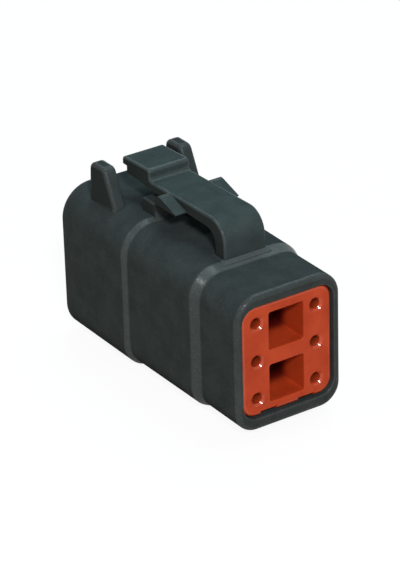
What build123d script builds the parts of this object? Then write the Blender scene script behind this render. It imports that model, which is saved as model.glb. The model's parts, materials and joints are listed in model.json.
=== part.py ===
from math import atan, degrees
import os

from build123d import *

# Six-way sealed connector plug, in millimetres: X across, mouth at -Y, wires leave at +Y, latch on top at +Z.
# The origin is below the middle of the plug, on the surface that it stands on.

# Contact grid: two columns of three
row_pitch = 4.95
column_spacing = 8.39
columns = 2
rows = 3

# Shell, from the mouth to the rear
nose_length = 7.5
front_step_length = 1.45
mid_length = 13.27
rear_step_length = 0.63
rear_length = 13.65
nose_width = 14.8
nose_height = 17.7
row_above_nose_floor = 8.8
nose_floor_radius = 2.8
nose_roof_radius = 3.2
front_step = 0.47
mid_draft = 0.1
rear_step = 0.43
front_step_blend = 1.0
rear_step_blend = 0.4
rim_rounding = 0.6
rear_rounding = 0.45

# Mouth and wedge lock
mouth_width = 13.0
mouth_height = 14.65
mouth_radius = 2.0
mouth_rise = 0.1
mouth_edge = 0.2
wedge_clearance = 0.08
wedge_recess = 0.45
wedge_depth = 7.2
wedge_rounding = 0.45
pin_hole_radius = 0.7
pin_lead_in = 0.27
lead_in_angle = 45
socket_well_depth = 4.4
pocket_width = 4.9
pocket_height = 4.9
pocket_rib = 2.0
pocket_depth = 6.2
pocket_draft = 1.5
pocket_corner = 0.3
pocket_edge = 0.2
notch_spacing = 5.4
notch_width = 2.4
notch_height = 0.5
notch_depth = 1.6
blade_width = 3.3
blade_height = 12.0
blade_length = 7.4
blade_tip = 0.8
blade_clearance = 0.1

# Contacts and hoods
contact_setback = 0.35
socket_bore_radius = 0.54
socket_radius = 0.84
socket_length = 7.0
socket_bore_depth = 6.0
tine_slot_width = 0.25
tine_slot_depth = 4.5
collar_radius = 1.2
collar_length = 1.0
shank_radius = 0.8
shank_length = 4.6
barrel_radius = 0.92
barrel_length = 6.4
barrel_bore_radius = 0.58
barrel_bore_depth = 5.4
hood_clearance = 0.06
hood_wall = 0.12
hood_lip = 0.22
hood_mouth_radius = 0.6

# Contact cavities in the housing
cavity_clearance = 0.1
collar_seat_gap = 0.05
finger_thickness = 0.8
finger_width = 1.4
finger_bite = 0.26
finger_hook_length = 1.2
finger_length = 4.0
finger_gap = 0.15
finger_side_gap = 0.3

# Rear pocket and wire seal
rear_wall = 1.2
seal_lip = 0.45
seal_lip_length = 0.8
seal_recess = 1.1
seal_length = 9.6
seal_clearance = 0.05
seal_groove = 0.55
seal_rib_width = 1.4
seal_rib_count = 3
wire_hole_radius = 0.95
wire_lip_radius = 0.6
wire_lip_length = 0.6
wire_lip_count = 3
wire_collar_radius = 1.7
wire_collar_height = 0.45

# Latch lever
arm_width = 5.9
root_lead = 0.35
root_thickness = 2.05
arm_rise = 4.75
arm_thickness = 1.65
arm_fall = 0.4
outer_bend_radius = 2.9
inner_bend_radius = 1.9
pad_from_root = 15.9
pad_length = 6.0
pad_rise = 1.45
pad_fall = 0.25
pad_lip = 0.85
pad_lip_depth = 1.1
pad_tail = 0.85
pad_edge = 0.45
pad_foot_radius = 0.5
tail_start = 2.0
wing_span = 9.1
wing_from_root = 7.9
wing_length = 4.1
wing_crest = 0.8
wing_rounding = 0.5
wing_floor_rise = 0.2
wing_front_edge = 0.15
latch_edge = 0.3
latch_gap = 0.05
foot_rise = 0.2
foot_land = 0.06
foot_angle = 45

# Latch stop and guard fins on the rear section
stop_lead = 0.35
stop_width = 7.1
stop_length = 2.7
stop_height = 1.75
stop_rounding = 0.3
fin_inner_gap = 9.2
fin_thickness = 1.8
fin_from_rear = 3.6
fin_base_length = 5.8
fin_top_length = 3.2
fin_height = 4.55
fin_foot_depth = 1.2
fin_lean = 0.4
fin_top_radius = 1.0
fin_edge = 0.45
relief_width = 6.8
relief_depth = 0.45

# Places along Y, from the mouth to the rear
mouth_y = -(nose_length + front_step_length + mid_length + rear_step_length + rear_length) / 2
front_step_y = mouth_y + nose_length
mid_y = front_step_y + front_step_length
rear_step_y = mid_y + mid_length
shoulder_y = rear_step_y + rear_step_length
rear_y = shoulder_y + rear_length
wedge_y = mouth_y + wedge_recess
wedge_back_y = wedge_y + wedge_depth
block_y = wedge_back_y + wedge_clearance
blade_end_y = wedge_back_y + blade_length
hood_y = wedge_back_y - socket_well_depth + contact_setback
socket_y = hood_y + hood_lip
collar_y = socket_y + socket_length
shank_y = collar_y + collar_length
barrel_y = shank_y + shank_length
contact_end_y = barrel_y + barrel_length
finger_tip_y = shank_y + finger_gap
finger_root_y = finger_tip_y + finger_length
cavity_y = collar_y - collar_seat_gap
blade_slot_end_y = max(finger_root_y, blade_end_y + blade_clearance)
seal_end_y = rear_y - seal_recess - seal_lip_length
seal_y = seal_end_y - seal_length
bead_y = seal_end_y + seal_clearance
stop_y = shoulder_y - stop_lead
stop_end_y = stop_y + stop_length
fin_back_y = rear_y - fin_from_rear

# Heights, from the surface that the plug stands on
rear_step_grow = front_step + mid_draft
rear_grow = rear_step_grow + rear_step
pocket_grow = rear_grow - rear_wall
middle_row_z = rear_grow + row_above_nose_floor
nose_roof_z = rear_grow + nose_height
mid_roof_z = nose_roof_z + front_step
rear_roof_z = nose_roof_z + rear_grow
shell_rise = nose_height / 2 - row_above_nose_floor
row_heights = [middle_row_z + ((rows - 1) / 2 - row) * row_pitch for row in range(rows)]
column_places = [(column - (columns - 1) / 2) * column_spacing for column in range(columns)]

# Radii and half widths that pieces share
hood_inner_radius = socket_radius + hood_clearance
hood_radius = hood_inner_radius + hood_wall
hood_bore_radius = hood_radius + cavity_clearance
cavity_radius = collar_radius + cavity_clearance
blade_slot_side = blade_width / 2 + blade_clearance
finger_hook_side = column_spacing / 2 - collar_radius + finger_bite
window_middle = (blade_slot_side + column_spacing / 2) / 2
window_width = column_spacing / 2 - blade_slot_side

# Latch profile: root front, pivot in the middle of the root, then along the arm
root_y = mid_y - root_lead
pivot_y = root_y + root_thickness / 2
pivot_z = mid_roof_z
knuckle_radius = root_thickness / 2
root_slot_width = arm_width + 2 * latch_gap
root_slot_length = root_thickness + 2 * latch_gap
foot_spread = foot_land + 2 * foot_rise
arm_top_z = pivot_z + arm_rise
arm_floor_z = arm_top_z - arm_thickness
bend_y = root_y + outer_bend_radius
inner_bend_y = root_y + root_thickness + inner_bend_radius
pad_y = root_y + pad_from_root
pad_end_y = pad_y + pad_length
pad_foot_z = arm_top_z - arm_fall
pad_top_z = pad_foot_z + pad_rise
pad_end_z = pad_top_z - pad_fall
pad_lip_z = pad_end_z - pad_lip_depth
wing_y = root_y + wing_from_root
wing_end_y = wing_y + wing_length
wing_crest_z = arm_top_z - arm_fall * (wing_end_y - bend_y) / (pad_y - bend_y)
wing_floor_z = arm_floor_z + wing_floor_rise

os.makedirs("parts", exist_ok=True)


def section(y):
    return Plane(origin=(0, y, middle_row_z), x_dir=(-1, 0, 0), z_dir=(0, 1, 0))


def splay(step, length):
    return -degrees(atan(step / length))


def shell_outline(y, grow):
    with BuildSketch(section(y)) as outline:
        with Locations((0, shell_rise)):
            Rectangle(nose_width + 2 * grow, nose_height + 2 * grow)
        fillet(outline.vertices().group_by(Axis.Y)[-1], nose_roof_radius + grow)
        fillet(outline.vertices().group_by(Axis.Y)[0], nose_floor_radius + grow)
    return outline.sketch


def shell_stage(y, grow, length, step=0, mode=Mode.ADD):
    extrude(shell_outline(y, grow), amount=length, taper=splay(step, length), mode=mode)


def edges_at(part, y):
    return part.edges().filter_by_position(Axis.Y, y, y)


def mouth_outline(y, inset):
    with BuildSketch(section(y)) as outline:
        with Locations((0, mouth_rise)):
            RectangleRounded(mouth_width - 2 * inset, mouth_height - 2 * inset, mouth_radius - inset)
    return outline.sketch


def contact_circles(y, radius):
    with BuildSketch(section(y)) as circles:
        with GridLocations(column_spacing, row_pitch, columns, rows):
            Circle(radius)
    return circles.sketch


def cut_circles(y, radius, length, taper=0):
    extrude(contact_circles(y, radius), amount=length, taper=taper, mode=Mode.SUBTRACT)


def blade_outline(y, grow):
    with BuildSketch(section(y)) as outline:
        Rectangle(blade_width + 2 * grow, blade_height + 2 * grow)
    return outline.sketch


def turned_profile(x, z, points):
    with BuildSketch(Plane(origin=(x, 0, z), x_dir=(0, 1, 0), z_dir=(1, 0, 0))) as profile:
        with BuildLine():
            Polyline(*points, close=True)
        make_face()
    return profile.sketch


# One guard fin, on the +X side: upright back, rounded top and sloping front
with BuildPart() as guard_fin:
    with BuildSketch(Plane.YZ.offset(fin_inner_gap / 2)) as fin_profile:
        with BuildLine():
            Polyline(
                (fin_back_y, rear_roof_z - fin_foot_depth),
                (fin_back_y - fin_lean, rear_roof_z + fin_height),
                (fin_back_y - fin_lean - fin_top_length, rear_roof_z + fin_height),
                (fin_back_y - fin_base_length, rear_roof_z),
                (fin_back_y - fin_base_length, rear_roof_z - fin_foot_depth),
                close=True,
            )
        make_face()
        fillet(fin_profile.vertices().group_by(Axis.Y)[-1], fin_top_radius)
    extrude(amount=fin_thickness)
    fillet(guard_fin.faces().filter_by(Axis.X).edges(), fin_edge)

# Housing: stepped shell with the latch stop and fins, opened from the mouth and from the rear
with BuildPart() as plug_housing:
    shell_stage(mouth_y, 0, nose_length)
    shell_stage(front_step_y, 0, front_step_length, front_step)
    shell_stage(mid_y, front_step, mid_length, mid_draft)
    shell_stage(rear_step_y, rear_step_grow, rear_step_length, rear_step)
    shell_stage(shoulder_y, rear_grow, rear_length)
    fillet(edges_at(plug_housing, front_step_y) + edges_at(plug_housing, mid_y), front_step_blend)
    fillet(edges_at(plug_housing, rear_step_y) + edges_at(plug_housing, shoulder_y), rear_step_blend)
    fillet(plug_housing.faces().sort_by(Axis.Y)[0].edges(), rim_rounding)
    fillet(plug_housing.faces().sort_by(Axis.Y)[-1].edges(), rear_rounding)

    # Stop under the latch, relief behind it for the thumb pad, and the two fins
    with BuildSketch(Plane.XY.offset(rear_roof_z + stop_height)):
        with Locations((0, (stop_y + stop_end_y) / 2)):
            Rectangle(stop_width, stop_length)
    extrude(amount=-(stop_height + fin_foot_depth))
    fillet(plug_housing.faces().filter_by(Axis.Z).sort_by(Axis.Z)[-1].edges(), stop_rounding)
    with BuildSketch(Plane.XY.offset(rear_roof_z - relief_depth)):
        with Locations((0, (stop_end_y + rear_y) / 2)):
            Rectangle(relief_width, rear_y - stop_end_y)
    extrude(amount=relief_depth, mode=Mode.SUBTRACT)
    add(guard_fin.part)
    add(mirror(guard_fin.part, about=Plane.YZ, mode=Mode.PRIVATE))

    # Sloping foot round the root of the latch, opened for the root and its round seat
    with BuildSketch(Plane.XY.offset(pivot_z - foot_rise)):
        with Locations((0, pivot_y)):
            Rectangle(root_slot_width + 2 * foot_spread, root_slot_length + 2 * foot_spread)
    extrude(amount=2 * foot_rise, taper=foot_angle)
    with BuildSketch(Plane.XY.offset(pivot_z)):
        with Locations((0, pivot_y)):
            RectangleRounded(root_slot_width, root_slot_length, latch_edge)
    extrude(amount=foot_rise, mode=Mode.SUBTRACT)
    with BuildSketch(Plane.YZ.offset(-root_slot_width / 2)):
        with Locations((pivot_y, pivot_z)):
            Circle(knuckle_radius + latch_gap)
    extrude(amount=root_slot_width, mode=Mode.SUBTRACT)

    # Mouth, slot for the wedge's blade, and the contact cavities
    extrude(mouth_outline(mouth_y, 0), amount=block_y - mouth_y, mode=Mode.SUBTRACT)
    fillet(plug_housing.faces().sort_by(Axis.Y)[0].inner_wires().edges(), mouth_edge)
    extrude(blade_outline(block_y, blade_clearance), amount=blade_slot_end_y - block_y, mode=Mode.SUBTRACT)
    cut_circles(block_y, hood_bore_radius, collar_y - block_y)
    cut_circles(cavity_y, cavity_radius, seal_y - cavity_y)

    # Lock fingers: a window beside each cavity, with a hooked finger that bites behind the contact's collar
    for row_z in row_heights:
        for side in (-1, 1):
            with BuildSketch(Plane.XY.offset(row_z)):
                with Locations((side * window_middle, (cavity_y + finger_root_y) / 2)):
                    Rectangle(window_width, finger_root_y - cavity_y)
            extrude(amount=finger_width / 2 + finger_side_gap, both=True, mode=Mode.SUBTRACT)
            with BuildSketch(Plane.XY.offset(row_z)):
                with BuildLine():
                    Polyline(
                        (side * blade_slot_side, finger_root_y),
                        (side * blade_slot_side, finger_tip_y),
                        (side * finger_hook_side, finger_tip_y),
                        (side * (blade_slot_side + finger_thickness), finger_tip_y + finger_hook_length),
                        (side * (blade_slot_side + finger_thickness), finger_root_y),
                        close=True,
                    )
                make_face()
            extrude(amount=finger_width / 2, both=True)

    # Rear pocket for the wire seal, with a bead behind it and a flared entry
    shell_stage(seal_y - seal_clearance, pocket_grow, bead_y - seal_y + seal_clearance, mode=Mode.SUBTRACT)
    shell_stage(bead_y, pocket_grow - seal_lip, rear_y - bead_y, mode=Mode.SUBTRACT)
    shell_stage(rear_y - seal_recess, pocket_grow - seal_lip, seal_recess, seal_lip, mode=Mode.SUBTRACT)
plug_housing.part.label = "plug_housing"
export_step(plug_housing.part, "parts/plug_housing.step")

# Latch: a bent arm on a round root, with a thumb pad at its free end and a locking wing on each side
with BuildPart() as latch_lever:
    with BuildSketch(Plane.YZ.offset(-arm_width / 2)) as arm_profile:
        with BuildLine():
            Line((root_y, pivot_z), (root_y, arm_top_z - outer_bend_radius))
            RadiusArc((root_y, arm_top_z - outer_bend_radius), (bend_y, arm_top_z), outer_bend_radius)
            Polyline(
                (bend_y, arm_top_z),
                (pad_y, pad_foot_z),
                (pad_y, pad_top_z),
                (pad_end_y, pad_end_z),
                (pad_end_y, pad_lip_z),
                (pad_end_y - pad_lip, pad_lip_z),
                (pad_end_y - pad_lip, pad_lip_z - pad_tail),
                (pad_y - tail_start, arm_floor_z),
                (inner_bend_y, arm_floor_z),
            )
            inner_bend_end = (root_y + root_thickness, arm_floor_z - inner_bend_radius)
            RadiusArc((inner_bend_y, arm_floor_z), inner_bend_end, -inner_bend_radius)
            Polyline(inner_bend_end, (root_y + root_thickness, pivot_z), (root_y, pivot_z))
        make_face()
        with Locations((pivot_y, pivot_z)):
            Circle(knuckle_radius)
        pad_corners = arm_profile.vertices().filter_by_position(Axis.Y, pad_end_z - pad_edge, pad_top_z)
        fillet(pad_corners, pad_edge)
        pad_foot = arm_profile.vertices().sort_by_distance((pad_y, pad_foot_z))[0]
        fillet(pad_foot, pad_foot_radius)
    extrude(amount=arm_width)
    fillet(latch_lever.faces().filter_by(Axis.X).edges(), latch_edge)
    with BuildSketch(Plane.YZ.offset(-wing_span / 2)) as wing_profile:
        with BuildLine():
            Polyline(
                (wing_y, wing_floor_z),
                (wing_y, wing_floor_z + wing_front_edge),
                (wing_end_y - wing_crest, wing_crest_z),
                (wing_end_y, wing_crest_z),
                (wing_end_y, wing_floor_z),
                close=True,
            )
        make_face()
        fillet(wing_profile.vertices().group_by(Axis.Y)[-1], wing_rounding)
    extrude(amount=wing_span)
latch_lever.part.label = "latch_lever"
export_step(latch_lever.part, "parts/latch_lever.step")

# Wedge lock: a block with pin holes and two pockets, and a blade that backs the lock fingers
with BuildPart() as wedge_lock:
    extrude(mouth_outline(wedge_y, wedge_clearance), amount=wedge_depth)
    fillet(wedge_lock.faces().sort_by(Axis.Y)[0].edges(), wedge_rounding)
    extrude(blade_outline(wedge_back_y, 0), amount=blade_length)
    chamfer(wedge_lock.faces().sort_by(Axis.Y)[-1].edges(), blade_tip)
    with BuildSketch(section(wedge_y)):
        with GridLocations(0, pocket_height + pocket_rib, 1, 2):
            RectangleRounded(pocket_width, pocket_height, pocket_corner)
    extrude(amount=pocket_depth, taper=pocket_draft, mode=Mode.SUBTRACT)
    fillet(wedge_lock.faces().sort_by(Axis.Y)[0].inner_wires().edges(), pocket_edge)
    with BuildSketch(section(wedge_y)):
        with Locations((0, mouth_rise - mouth_height / 2 + wedge_clearance)):
            with GridLocations(notch_spacing, 0, 2, 1):
                Rectangle(notch_width, 2 * notch_height)
    extrude(amount=notch_depth, mode=Mode.SUBTRACT)
    cut_circles(wedge_y, pin_hole_radius, wedge_depth)
    cut_circles(wedge_y, pin_hole_radius + pin_lead_in, pin_lead_in, lead_in_angle)
    cut_circles(wedge_back_y - socket_well_depth, hood_bore_radius, socket_well_depth)
wedge_lock.part.label = "wedge_lock"
export_step(wedge_lock.part, "parts/wedge_lock.step")

# Wire seal: a ribbed grommet with a lipped hole for each wire
with BuildPart() as rear_wire_seal:
    shell_stage(seal_y, pocket_grow - seal_groove, seal_length)
    rib_spacing = (seal_length - seal_rib_width) / (seal_rib_count - 1)
    for rib in range(seal_rib_count):
        shell_stage(seal_y + rib * rib_spacing, pocket_grow - seal_clearance, seal_rib_width)
    extrude(contact_circles(seal_end_y, wire_collar_radius), amount=wire_collar_height)
    cut_circles(seal_y, wire_lip_radius, seal_length)
    lip_pitch = seal_length / wire_lip_count
    for lip in range(wire_lip_count):
        chamber_y = seal_y + lip * lip_pitch + wire_lip_length
        cut_circles(chamber_y, wire_hole_radius, lip_pitch - wire_lip_length)
    cut_circles(seal_end_y, wire_hole_radius, wire_collar_height)
rear_wire_seal.part.label = "rear_wire_seal"
export_step(rear_wire_seal.part, "parts/rear_wire_seal.step")

# Socket contacts and their hoods, turned about each cavity's axis
contact_points = [
    (socket_y, socket_bore_radius),
    (socket_y, socket_radius),
    (collar_y, socket_radius),
    (collar_y, collar_radius),
    (shank_y, collar_radius),
    (shank_y, shank_radius),
    (barrel_y, shank_radius),
    (barrel_y, barrel_radius),
    (contact_end_y, barrel_radius),
    (contact_end_y, barrel_bore_radius),
    (contact_end_y - barrel_bore_depth, barrel_bore_radius),
    (contact_end_y - barrel_bore_depth, 0),
    (socket_y + socket_bore_depth, 0),
    (socket_y + socket_bore_depth, socket_bore_radius),
]
hood_points = [
    (hood_y, hood_mouth_radius),
    (hood_y, hood_radius),
    (collar_y - collar_seat_gap, hood_radius),
    (collar_y - collar_seat_gap, hood_inner_radius),
    (hood_y + hood_lip, hood_inner_radius),
    (hood_y + hood_lip, hood_mouth_radius),
]
contact_places = [(x, z) for x in column_places for z in row_heights]
for number, (x, z) in enumerate(contact_places, start=1):
    contact_axis = Axis((x, 0, z), (0, 1, 0))
    with BuildPart() as socket_contact:
        revolve(turned_profile(x, z, contact_points), axis=contact_axis)
        with BuildSketch(section(socket_y)):
            with Locations((-x, z - middle_row_z)):
                Rectangle(tine_slot_width, 2 * socket_radius)
        extrude(amount=tine_slot_depth, mode=Mode.SUBTRACT)
    socket_contact.part.label = f"socket_contact_{number}"
    export_step(socket_contact.part, f"parts/socket_contact_{number}.step")

    with BuildPart() as contact_hood:
        revolve(turned_profile(x, z, hood_points), axis=contact_axis)
    contact_hood.part.label = f"contact_hood_{number}"
    export_step(contact_hood.part, f"parts/contact_hood_{number}.step")
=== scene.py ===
import json
import math

import bpy
from mathutils import Matrix, Vector


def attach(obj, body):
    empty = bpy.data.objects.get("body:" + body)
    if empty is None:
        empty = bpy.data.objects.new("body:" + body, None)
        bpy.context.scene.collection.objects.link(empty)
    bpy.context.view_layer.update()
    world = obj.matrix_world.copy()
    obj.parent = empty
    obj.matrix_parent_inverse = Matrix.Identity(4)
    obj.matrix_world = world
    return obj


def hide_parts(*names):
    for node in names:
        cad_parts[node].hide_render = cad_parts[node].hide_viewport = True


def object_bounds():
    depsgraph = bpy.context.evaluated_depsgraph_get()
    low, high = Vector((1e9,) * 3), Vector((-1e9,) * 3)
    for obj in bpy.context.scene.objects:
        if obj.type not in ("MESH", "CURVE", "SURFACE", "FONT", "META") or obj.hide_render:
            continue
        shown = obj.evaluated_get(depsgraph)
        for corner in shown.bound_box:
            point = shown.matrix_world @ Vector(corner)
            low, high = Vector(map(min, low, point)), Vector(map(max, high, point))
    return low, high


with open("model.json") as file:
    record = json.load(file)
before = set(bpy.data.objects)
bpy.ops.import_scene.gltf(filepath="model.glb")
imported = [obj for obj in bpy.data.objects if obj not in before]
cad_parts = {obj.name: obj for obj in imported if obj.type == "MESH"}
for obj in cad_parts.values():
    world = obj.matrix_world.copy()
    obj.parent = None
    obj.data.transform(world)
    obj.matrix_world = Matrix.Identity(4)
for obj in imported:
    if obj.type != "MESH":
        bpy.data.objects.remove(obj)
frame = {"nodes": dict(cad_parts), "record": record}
cadLow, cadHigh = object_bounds()  # the solids' own box
mm = 0.001
print("frame loaded:", len(frame["nodes"]), "nodes")


# selecting and copying

def clearSelection():
    bpy.ops.object.select_all(action="DESELECT")


def makeActive(piece):
    clearSelection()
    piece.select_set(True)
    bpy.context.view_layer.objects.active = piece


def copySolid(nodeName, pieceName, mergeGap):
    piece = bpy.data.objects.new(pieceName, frame["nodes"][nodeName].data.copy())
    bpy.context.scene.collection.objects.link(piece)
    piece.data.name = pieceName
    makeActive(piece)
    bpy.ops.mesh.customdata_custom_splitnormals_clear()
    bpy.ops.object.mode_set(mode="EDIT")
    bpy.ops.mesh.select_all(action="SELECT")
    bpy.ops.mesh.remove_doubles(threshold=mergeGap)
    bpy.ops.object.mode_set(mode="OBJECT")
    return piece


def smoothFaces(piece, smoothAngle, faceWeight):
    makeActive(piece)
    bpy.ops.object.shade_smooth_by_angle(angle=math.radians(smoothAngle))
    even = piece.modifiers.new("evenShade", "WEIGHTED_NORMAL")
    even.keep_sharp = True
    even.weight = faceWeight
    bpy.ops.object.modifier_apply(modifier=even.name)


def markRounding(piece, shortestEdge):
    # 1 / radius in millimetres, bumps and hollows alike, kept on each face
    mesh = piece.data
    places = [mesh.vertices[loop.vertex_index].co for loop in mesh.loops]
    normals = [normal.vector for normal in mesh.corner_normals]
    turns = []
    for face in mesh.polygons:
        corners = list(face.loop_indices)
        turn = 0.0
        for first, second in zip(corners, corners[1:] + corners[:1]):
            gap = places[first] - places[second]
            if gap.length > shortestEdge:
                bend = (normals[first] - normals[second]).dot(gap) / gap.length_squared
                turn = max(turn, abs(bend) * mm)
        turns.append(turn)
    mesh.attributes.new("rounding", "FLOAT", "FACE").data.foreach_set("value", turns)


def markSideFaces(piece, above):
    # how squarely each face over the given height looks sideways, the mask for painted shade on the sides
    shares = [abs(face.normal.x) if face.center.z > above else 0.0 for face in piece.data.polygons]
    piece.data.attributes.new("sideFace", "FLOAT", "FACE").data.foreach_set("value", shares)


def finishPiece(piece, plan):
    piece.data.materials.clear()
    piece.data.materials.append(plan["finish"])
    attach(piece, plan["body"])
    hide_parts(plan["node"])
    print("piece done:", piece.name, len(piece.data.polygons), "faces")


# nodes for materials, each value a number, a colour or another node's output

def addNode(tree, kind, values=None, **settings):
    node = tree.nodes.new(kind)
    for name, value in settings.items():
        setattr(node, name, value)
    for name, value in (values or {}).items():
        if isinstance(value, bpy.types.NodeSocket):
            tree.links.new(value, node.inputs[name])
        else:
            node.inputs[name].default_value = value
    return node


def addMath(tree, operation, *values):
    return addNode(tree, "ShaderNodeMath", dict(enumerate(values)), operation=operation).outputs["Value"]


def addMix(tree, share, first, second):
    # a Mix node's colour sockets come after those for numbers and vectors
    return addNode(tree, "ShaderNodeMix", {0: share, 6: first, 7: second}, data_type="RGBA").outputs[2]


def addRange(tree, value, low, high, toLow=0.0, toHigh=1.0, shape="LINEAR"):
    values = {"Value": value, "From Min": low, "From Max": high, "To Min": toLow, "To Max": toHigh}
    return addNode(tree, "ShaderNodeMapRange", values, interpolation_type=shape).outputs["Result"]


def addRise(tree, value, limit, softness):
    low = addMath(tree, "SUBTRACT", limit, softness)
    high = addMath(tree, "ADD", limit, softness)
    return addRange(tree, value, low, high, shape="SMOOTHSTEP")


def addNoise(tree, place, scale, values):
    noise = addNode(tree, "ShaderNodeTexNoise", {"Vector": place, "Scale": scale, **values})
    return noise.outputs["Fac"]


def startGroup(name, inputs, outputs):
    group = bpy.data.node_groups.new(name, "ShaderNodeTree")
    for direction, sockets in (("INPUT", inputs), ("OUTPUT", outputs)):
        for socketName, kind in sockets.items():
            group.interface.new_socket(socketName, in_out=direction, socket_type="NodeSocket" + kind)
    return group, group.nodes.new("NodeGroupInput").outputs, group.nodes.new("NodeGroupOutput").inputs


def useGroup(tree, group, values):
    return addNode(tree, "ShaderNodeGroup", values, node_tree=group).outputs


def startMaterial(name, constants):
    material = bpy.data.materials.new(name)
    material.use_nodes = True
    shader = material.node_tree.nodes["Principled BSDF"]
    for socketName, value in constants.items():
        shader.inputs[socketName].default_value = value
    return material, material.node_tree, shader


def addPlace(tree):
    # the piece's own coordinates, under the name that the groups take them by
    return {"Place": addNode(tree, "ShaderNodeTexCoord").outputs["Object"]}


def colour(red, green, blue):
    # screen levels from 0 to 255, made linear for the shaders
    def toLinear(level):
        level = level / 255
        return level / 12.92 if level <= 0.04045 else ((level + 0.055) / 1.055) ** 2.4
    return (toLinear(red), toLinear(green), toLinear(blue), 1)


# moulded skin: slow drift between two tones, pale flecks and a spark-eroded grain

skinLook = {
    "drift": {"Detail": 3.0, "Roughness": 0.55},
    "driftSpan": (0.35, 0.65),  # noise levels from the first tone to the second
    "grain": {"Detail": 2.0, "Roughness": 0.6},
    "fleckSpan": (0.58, 0.75),  # noise levels from no fleck to a full one
}


def makeMouldedSkin(look):
    group, given, result = startGroup(
        "mouldedSkin",
        {"Place": "Vector", "Tone": "Color", "Second Tone": "Color", "Fleck Tone": "Color",
         "Drift Scale": "Float", "Grain Scale": "Float", "Fleck Amount": "Float",
         "Roughness Low": "Float", "Roughness High": "Float"},
        {"Color": "Color", "Roughness": "Float", "Height": "Float"})
    drift = addNoise(group, given["Place"], given["Drift Scale"], look["drift"])
    grain = addNoise(group, given["Place"], given["Grain Scale"], look["grain"])
    tone = addMix(group, addRange(group, drift, *look["driftSpan"]), given["Tone"], given["Second Tone"])
    fleck = addMath(group, "MULTIPLY", addRange(group, grain, *look["fleckSpan"]), given["Fleck Amount"])
    rough = addRange(group, drift, *look["driftSpan"], given["Roughness Low"], given["Roughness High"])
    group.links.new(addMix(group, fleck, tone, given["Fleck Tone"]), result["Color"])
    group.links.new(rough, result["Roughness"])
    group.links.new(grain, result["Height"])
    return group


# rounded edge: 1 where the mesh turns tightly, 0 on flat walls and past the tightest turn

def makeRoundedEdge():
    group, given, result = startGroup(
        "roundedEdge", {"Start": "Float", "Full": "Float", "Tightest": "Float"}, {"Mask": "Float"})
    turn = addNode(group, "ShaderNodeAttribute", attribute_name="rounding").outputs["Fac"]
    mask = addRange(group, turn, given["Start"], given["Full"], shape="SMOOTHSTEP")
    within = addMath(group, "LESS_THAN", turn, given["Tightest"])
    group.links.new(addMath(group, "MULTIPLY", mask, within), result["Mask"])
    return group


# deep shade: 1 inside holes and pockets, 0 on open walls

def makeDeepShade():
    group, given, result = startGroup(
        "deepShade", {"Reach": "Float", "Start": "Float", "Full": "Float"}, {"Mask": "Float"})
    openShare = addNode(group, "ShaderNodeAmbientOcclusion", {"Distance": given["Reach"]},
                        samples=16, only_local=True).outputs["AO"]
    closedShare = addMath(group, "SUBTRACT", 1.0, openShare)
    group.links.new(addRange(group, closedShare, given["Start"], given["Full"]), result["Mask"])
    return group


# side face: 1 on the marked faces that look straight sideways, where shade is painted in

def makeSideFace():
    group, given, result = startGroup("sideFace", {"Start": "Float", "Full": "Float"}, {"Mask": "Float"})
    facing = addNode(group, "ShaderNodeAttribute", attribute_name="sideFace").outputs["Fac"]
    group.links.new(addRange(group, facing, given["Start"], given["Full"]), result["Mask"])
    return group


# step band: 1 between two places along the plug, with soft ends

def makeStepBand():
    group, given, result = startGroup(
        "stepBand",
        {"Place": "Vector", "Front": "Float", "Back": "Float", "Softness": "Float"}, {"Mask": "Float"})
    along = addNode(group, "ShaderNodeSeparateXYZ", {"Vector": given["Place"]}).outputs["Y"]
    rise = addRise(group, along, given["Front"], given["Softness"])
    fall = addRise(group, along, given["Back"], given["Softness"])
    group.links.new(addMath(group, "SUBTRACT", rise, fall), result["Mask"])
    return group


# top corner: 1 over a height and further out than a distance, on both sides alike

def makeTopCorner():
    group, given, result = startGroup(
        "topCorner",
        {"Place": "Vector", "Out": "Float", "Up": "Float", "Softness": "Float"}, {"Mask": "Float"})
    place = addNode(group, "ShaderNodeSeparateXYZ", {"Vector": given["Place"]}).outputs
    outwards = addRise(group, addMath(group, "ABSOLUTE", place["X"]), given["Out"], given["Softness"])
    upwards = addRise(group, place["Z"], given["Up"], given["Softness"])
    group.links.new(addMath(group, "MULTIPLY", outwards, upwards), result["Mask"])
    return group


mouldedSkin = makeMouldedSkin(skinLook)
roundedEdge = makeRoundedEdge()
deepShade = makeDeepShade()
sideFace = makeSideFace()
stepBand = makeStepBand()
topCorner = makeTopCorner()
print("node groups made")


# plastic and rubber

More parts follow.
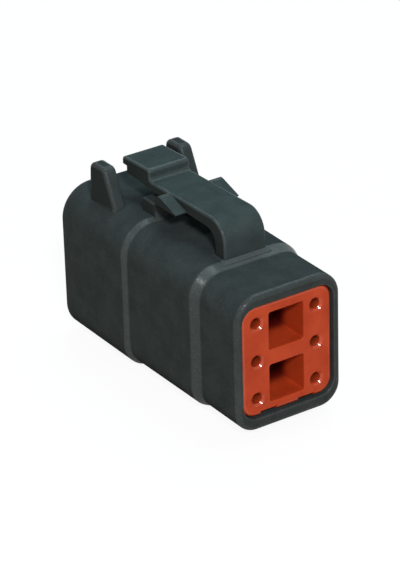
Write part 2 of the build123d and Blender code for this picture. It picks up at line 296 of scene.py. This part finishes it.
def makePlastic(name, look):
    material, tree, shader = startMaterial(name, look["constants"])
    place = addPlace(tree)
    skin = useGroup(tree, mouldedSkin, {**look["skin"], **place})
    edge = useGroup(tree, roundedEdge, look["edge"])["Mask"]
    # rounded edges paler: partly wear, partly a painted highlight
    pale = addMath(tree, "MULTIPLY", edge, look["edgeWearAndHighlight"])
    gloss = addMath(tree, "MULTIPLY", edge, look["edgeGloss"])
    # step bands: their paler colour is painted light, strongest on top where the step faces up; their
    # gloss is a real coat
    for band in look.get("bands", []):
        mask = useGroup(tree, stepBand, {**band["place"], **place})["Mask"]
        top = useGroup(tree, topCorner, {**band["top"], **place})["Mask"]
        corner = useGroup(tree, topCorner, {**band["corner"], **place})["Mask"]
        paintedBandLight = addMath(tree, "MULTIPLY_ADD", top, band["topPaintedLight"], band["pale"])
        shine = addMath(tree, "MULTIPLY_ADD", corner, band["cornerGloss"], band["gloss"])
        pale = addMath(tree, "MAXIMUM", pale, addMath(tree, "MULTIPLY", mask, paintedBandLight))
        gloss = addMath(tree, "MAXIMUM", gloss, addMath(tree, "MULTIPLY", mask, shine))
    # the paler tone: wear and painted highlight on rounded edges, painted light on the step bands
    tone = addMix(tree, pale, skin["Color"], look["paleTone"])
    # painted shade: faces that look sideways are darker
    if "side" in look:
        tone = addMix(tree, useGroup(tree, sideFace, look["side"])["Mask"], tone, look["sideShadeTone"])
    for deep in look.get("deep", []):
        shade = useGroup(tree, deepShade, deep["shade"])["Mask"]
        if "depth" in deep:
            far = useGroup(tree, stepBand, {**deep["depth"], **place})["Mask"]
            shade = addMath(tree, "MULTIPLY", shade, far)
        tone = addMix(tree, shade, tone, deep["tone"])
    speckle = addNode(tree, "ShaderNodeMapRange", {**look["speckle"], "Value": skin["Height"]})
    coat = addMath(tree, "MULTIPLY", gloss, speckle.outputs["Result"])
    bump = addNode(tree, "ShaderNodeBump", {**look["bump"], "Height": skin["Height"]})
    tree.links.new(tone, shader.inputs["Base Color"])
    tree.links.new(coat, shader.inputs["Coat Weight"])
    tree.links.new(skin["Roughness"], shader.inputs["Roughness"])
    tree.links.new(bump.outputs["Normal"], shader.inputs["Normal"])
    return material


# step bands: a paler colour painted where the steps catch more light, most on top
frontBand = {
    "place": {"Front": -10.75 * mm, "Back": -9.3 * mm, "Softness": 0.2 * mm},
    "pale": 0.12,
    "top": {"Out": -2 * mm, "Up": 18.5 * mm, "Softness": 0.6 * mm},  # out from below 0 is the whole width
    "topPaintedLight": 0.36,
    "gloss": 0.25,
    "corner": {"Out": 5.6 * mm, "Up": 16.6 * mm, "Softness": 1.2 * mm},
    "cornerGloss": 0.4,
}
rearBand = {
    "place": {"Front": 3.97 * mm, "Back": 4.6 * mm, "Softness": 0.16 * mm},
    "pale": 0.12,
    "top": {"Out": -2 * mm, "Up": 19.0 * mm, "Softness": 0.6 * mm},
    "topPaintedLight": 0.2,
    "gloss": 0.25,
    "corner": {"Out": 6.2 * mm, "Up": 17.2 * mm, "Softness": 1.2 * mm},
    "cornerGloss": 0.1,
}
housingLook = {
    "constants": {"IOR": 1.5, "Specular IOR Level": 0.0, "Coat Roughness": 0.28},
    "skin": {"Tone": colour(50, 56, 57), "Second Tone": colour(56, 62, 63),
             "Fleck Tone": colour(104, 112, 114), "Fleck Amount": 0.2,
             "Drift Scale": 420.0, "Grain Scale": 5500.0, "Roughness Low": 0.68, "Roughness High": 0.8},
    "edge": {"Start": 0.4, "Full": 1.4, "Tightest": 9.0},
    "edgeWearAndHighlight": 0.0,
    "edgeGloss": 0.25,
    "bands": [frontBand, rearBand],
    # paler tone for the step bands' painted light
    "paleTone": colour(84, 91, 92),
    "speckle": {"From Min": 0.4, "From Max": 0.62, "To Min": 0.6, "To Max": 1.4},
    "side": {"Start": 0.7, "Full": 1.0},
    # painted shade on the faces that look sideways
    "sideShadeTone": colour(44, 50, 50),
    "bump": {"Strength": 0.25, "Distance": 0.02 * mm},
}
# painted light: the latch is the housing's plastic, given lighter tones for its well-lit top
latchPaintedLightTones = {"Tone": colour(54, 63, 64), "Second Tone": colour(60, 70, 71)}
latchLook = {**housingLook, "skin": {**housingLook["skin"], **latchPaintedLightTones}, "bands": []}
wedgeLook = {
    "constants": {"IOR": 1.5, "Specular IOR Level": 0.15, "Coat Roughness": 0.1},
    "skin": {"Tone": colour(183, 66, 32), "Second Tone": colour(166, 55, 24),
             "Fleck Tone": colour(206, 104, 66), "Fleck Amount": 0.22,
             "Drift Scale": 280.0, "Grain Scale": 5000.0, "Roughness Low": 0.34, "Roughness High": 0.44},
    "edge": {"Start": 0.3, "Full": 0.8, "Tightest": 3.0},
    "edgeWearAndHighlight": 0.15,
    "edgeGloss": 0.5,
    # paler tone for the edges: wear and painted highlight
    "paleTone": colour(204, 86, 50),
    "speckle": {"To Min": 0.9, "To Max": 1.1},
    "deep": [
        {"shade": {"Reach": 6 * mm, "Start": 0.6, "Full": 0.75},  # hook pockets, from halfway down
         "depth": {"Front": -13.8 * mm, "Back": 0.0, "Softness": 0.9 * mm},
         "tone": colour(80, 14, 8)},
        {"shade": {"Reach": 1.6 * mm, "Start": 0.6, "Full": 0.9},  # pin holes
         "tone": colour(34, 8, 5)},
    ],
    "bump": {"Strength": 0.2, "Distance": 0.015 * mm},
}
sealLook = {
    "constants": {"IOR": 1.42, "Specular IOR Level": 0.3, "Coat Roughness": 0.4},
    "skin": {"Tone": colour(176, 66, 42), "Second Tone": colour(164, 58, 38),
             "Fleck Tone": colour(206, 140, 118), "Fleck Amount": 0.3,
             "Drift Scale": 260.0, "Grain Scale": 5000.0, "Roughness Low": 0.55, "Roughness High": 0.7},
    "edge": {"Start": 0.4, "Full": 1.4, "Tightest": 9.0},
    "edgeWearAndHighlight": 0.3,
    "edgeGloss": 0.2,
    # paler tone for the edges: wear and painted highlight
    "paleTone": colour(196, 96, 70),
    "speckle": {"To Min": 0.6, "To Max": 1.4},
    "bump": {"Strength": 0.3, "Distance": 0.02 * mm},
}
housingPlastic = makePlastic("housingPlastic", housingLook)
latchPlastic = makePlastic("latchPlastic", latchLook)
wedgePlastic = makePlastic("wedgePlastic", wedgeLook)
sealRubber = makePlastic("sealRubber", sealLook)


# metal, with the skin's drift and flecks as its stain

def makeMetal(name, skinValues):
    material, tree, shader = startMaterial(name, {"Metallic": 1.0})
    skin = useGroup(tree, mouldedSkin, {**skinValues, **addPlace(tree)})
    tree.links.new(skin["Color"], shader.inputs["Base Color"])
    tree.links.new(skin["Roughness"], shader.inputs["Roughness"])
    return material


contactMetal = makeMetal("contactMetal", {
    "Tone": colour(214, 178, 104), "Second Tone": colour(206, 166, 90),
    "Fleck Tone": colour(236, 208, 150), "Fleck Amount": 0.3,
    "Drift Scale": 900.0, "Grain Scale": 9000.0, "Roughness Low": 0.22, "Roughness High": 0.34,
})
hoodSteel = makeMetal("hoodSteel", {
    "Tone": colour(188, 188, 190), "Second Tone": colour(176, 177, 180),
    "Fleck Tone": colour(214, 214, 216), "Fleck Amount": 0.25,
    "Drift Scale": 1200.0, "Grain Scale": 9000.0, "Roughness Low": 0.2, "Roughness High": 0.3,
})
print("materials made")


# the moulded pieces, and the metal ones, which keep their solids

mouldedPieces = {
    "housingShell": {"node": "plug_housing", "body": "housing", "slot": "housing_plastic",
                     "finish": housingPlastic, "sidesAbove": 19.9 * mm},  # the fins and the stop
    "latchArm": {"node": "latch_lever", "body": "latch", "slot": "housing_plastic",
                 "finish": latchPlastic, "sidesAbove": 0.0},  # all of it
    "wedgeBlock": {"node": "wedge_lock", "body": "wedge", "slot": "wedge_plastic", "finish": wedgePlastic},
    "wireSeal": {"node": "rear_wire_seal", "body": "housing", "slot": "seal_rubber", "finish": sealRubber},
}
meshLook = {
    "mergeGap": 0.002 * mm,
    "smoothAngle": 40,  # degrees, sharper edges stay sharp
    "faceWeight": 100,  # large faces keep their flat shading
    "shortestEdge": 0.01 * mm,  # shorter ones say nothing about rounding
}
for pieceName, plan in mouldedPieces.items():
    piece = copySolid(plan["node"], pieceName, meshLook["mergeGap"])
    smoothFaces(piece, meshLook["smoothAngle"], meshLook["faceWeight"])
    markRounding(piece, meshLook["shortestEdge"])
    if "sidesAbove" in plan:
        markSideFaces(piece, plan["sidesAbove"])
    finishPiece(piece, plan)

metalPieces = {"socket_contact": contactMetal, "contact_hood": hoodSteel}
for nodeName, node in frame["nodes"].items():
    metal = metalPieces.get(nodeName.rsplit("_", 1)[0])
    if metal:
        node.data.materials.clear()
        node.data.materials.append(metal)
print("pieces made")


# stage, light and camera

stageLook = {
    "size": 1.2,
    "constants": {"Roughness": 0.9, "Specular IOR Level": 0.0},
    "seenTone": (1, 1, 1, 1),
    "bounceTone": (0.64, 0.54, 0.44, 1),  # the floor as it lights the part
    "glow": 0.92,  # share of plain white in the floor, the rest takes the shadow
    "fill": 0.08,  # strength of the world as it lights the part
}


def addSeen(tree):
    # 1 for what the camera sees, straight, mirrored or through something clear
    ray = addNode(tree, "ShaderNodeLightPath").outputs
    seen = addMath(tree, "MAXIMUM", ray["Is Camera Ray"], ray["Is Glossy Ray"])
    return addMath(tree, "MAXIMUM", seen, ray["Is Transmission Ray"])


def makeFloor(look):
    clearSelection()
    bpy.ops.mesh.primitive_plane_add(size=look["size"], location=(0, 0, 0))
    floor = bpy.context.object
    floor.name = "studioFloor"
    material, tree, shader = startMaterial("paleFloor", look["constants"])
    seen = addSeen(tree)
    tree.links.new(addMix(tree, seen, look["bounceTone"], look["seenTone"]), shader.inputs["Base Color"])
    glow = addNode(tree, "ShaderNodeEmission", {"Color": look["seenTone"]})
    share = addMath(tree, "MULTIPLY", seen, look["glow"])
    mix = addNode(tree, "ShaderNodeMixShader",
                  {0: share, 1: shader.outputs["BSDF"], 2: glow.outputs["Emission"]})
    tree.links.new(mix.outputs["Shader"], tree.nodes["Material Output"].inputs["Surface"])
    floor.data.materials.append(material)


def makeWorld(look):
    world = bpy.data.worlds.new("studioWorld")
    bpy.context.scene.world = world
    world.use_nodes = True
    tree = world.node_tree
    background = tree.nodes["Background"]
    background.inputs["Color"].default_value = look["seenTone"]
    strength = addRange(tree, addSeen(tree), 0.0, 1.0, toLow=look["fill"])
    tree.links.new(strength, background.inputs["Strength"])


def addSoftbox(name, look, aim, distance):
    direction = Vector(look["direction"]).normalized()
    lamp = bpy.data.lights.new(name, "AREA")
    lamp.shape = "DISK"
    lamp.size = look["size"]
    lamp.energy = look["power"]
    lamp.color = look["tint"]
    box = bpy.data.objects.new(name, lamp)
    bpy.context.scene.collection.objects.link(box)
    box.location = aim + direction * distance
    box.rotation_mode = "QUATERNION"
    box.rotation_quaternion = direction.to_track_quat("Z", "Y")


lightLook = {
    "keyBox": {"direction": (-0.36, -0.72, 0.6), "size": 0.08, "power": 2.5, "tint": (1, 0.99, 0.98)},
    "overBox": {"direction": (0.3, 0.1, 1), "size": 0.4, "power": 1.8, "tint": (0.7, 0.96, 1)},
    "sideBox": {"direction": (-0.68, 0.15, 0.71), "size": 0.1, "power": 0.55, "tint": (1, 1, 1)},
    "lowBox": {"direction": (-0.5, -0.84, 0.2), "size": 0.3, "power": 0.4, "tint": (1, 0.95, 0.9)},
    "backBox": {"direction": (0.55, 0.75, 0.45), "size": 0.4, "power": 1.1, "tint": (0.8, 0.97, 1)},
}
lightDistance = 0.6
partMiddle = (cadLow + cadHigh) / 2
makeFloor(stageLook)
makeWorld(stageLook)
for lampName, lampLook in lightLook.items():
    addSoftbox(lampName, lampLook, partMiddle, lightDistance)

cameraLook = {
    "azimuth": 33.21,  # degrees round from the mouth
    "elevation": 27.41,
    "roll": -1.71,
    "distance": 354.7 * mm,  # lens to the middle of the mouth
    "imageSize": (400, 570),
    "focalPixels": 3043.3,
    "mouthPixel": (289.2, 353.4),  # where the middle of the mouth shows
    "sensor": 36.0,
    "clipStart": 10 * mm,
}


def makeCamera(look):
    azimuth, elevation, roll = (math.radians(look[name]) for name in ("azimuth", "elevation", "roll"))
    back = Vector((-math.sin(azimuth) * math.cos(elevation), -math.cos(azimuth) * math.cos(elevation),
                   math.sin(elevation)))
    level = Vector((math.cos(azimuth), -math.sin(azimuth), 0))
    rise = back.cross(level)
    right = math.cos(roll) * level + math.sin(roll) * rise
    up = math.cos(roll) * rise - math.sin(roll) * level
    width, height = look["imageSize"]
    perPixel = look["distance"] / look["focalPixels"]
    across = (look["mouthPixel"][0] - width / 2) * perPixel
    down = (look["mouthPixel"][1] - height / 2) * perPixel
    mouth = next(mount for mount in frame["record"]["mounts"] if mount["name"] == "mating_nose")
    eye = Vector(mouth["pos_m"]) + back * look["distance"] - right * across + up * down
    data = bpy.data.cameras.new("photoCamera")
    data.sensor_width = look["sensor"]
    data.lens = look["focalPixels"] / max(width, height) * look["sensor"]
    data.clip_start = look["clipStart"]
    camera = bpy.data.objects.new("photoCamera", data)
    bpy.context.scene.collection.objects.link(camera)
    camera.matrix_world = Matrix.Translation(eye) @ Matrix((right, up, back)).transposed().to_4x4()
    bpy.context.scene.camera = camera


makeCamera(cameraLook)
bpy.context.scene.view_settings.view_transform = "Standard"
print("stage, light and camera set")
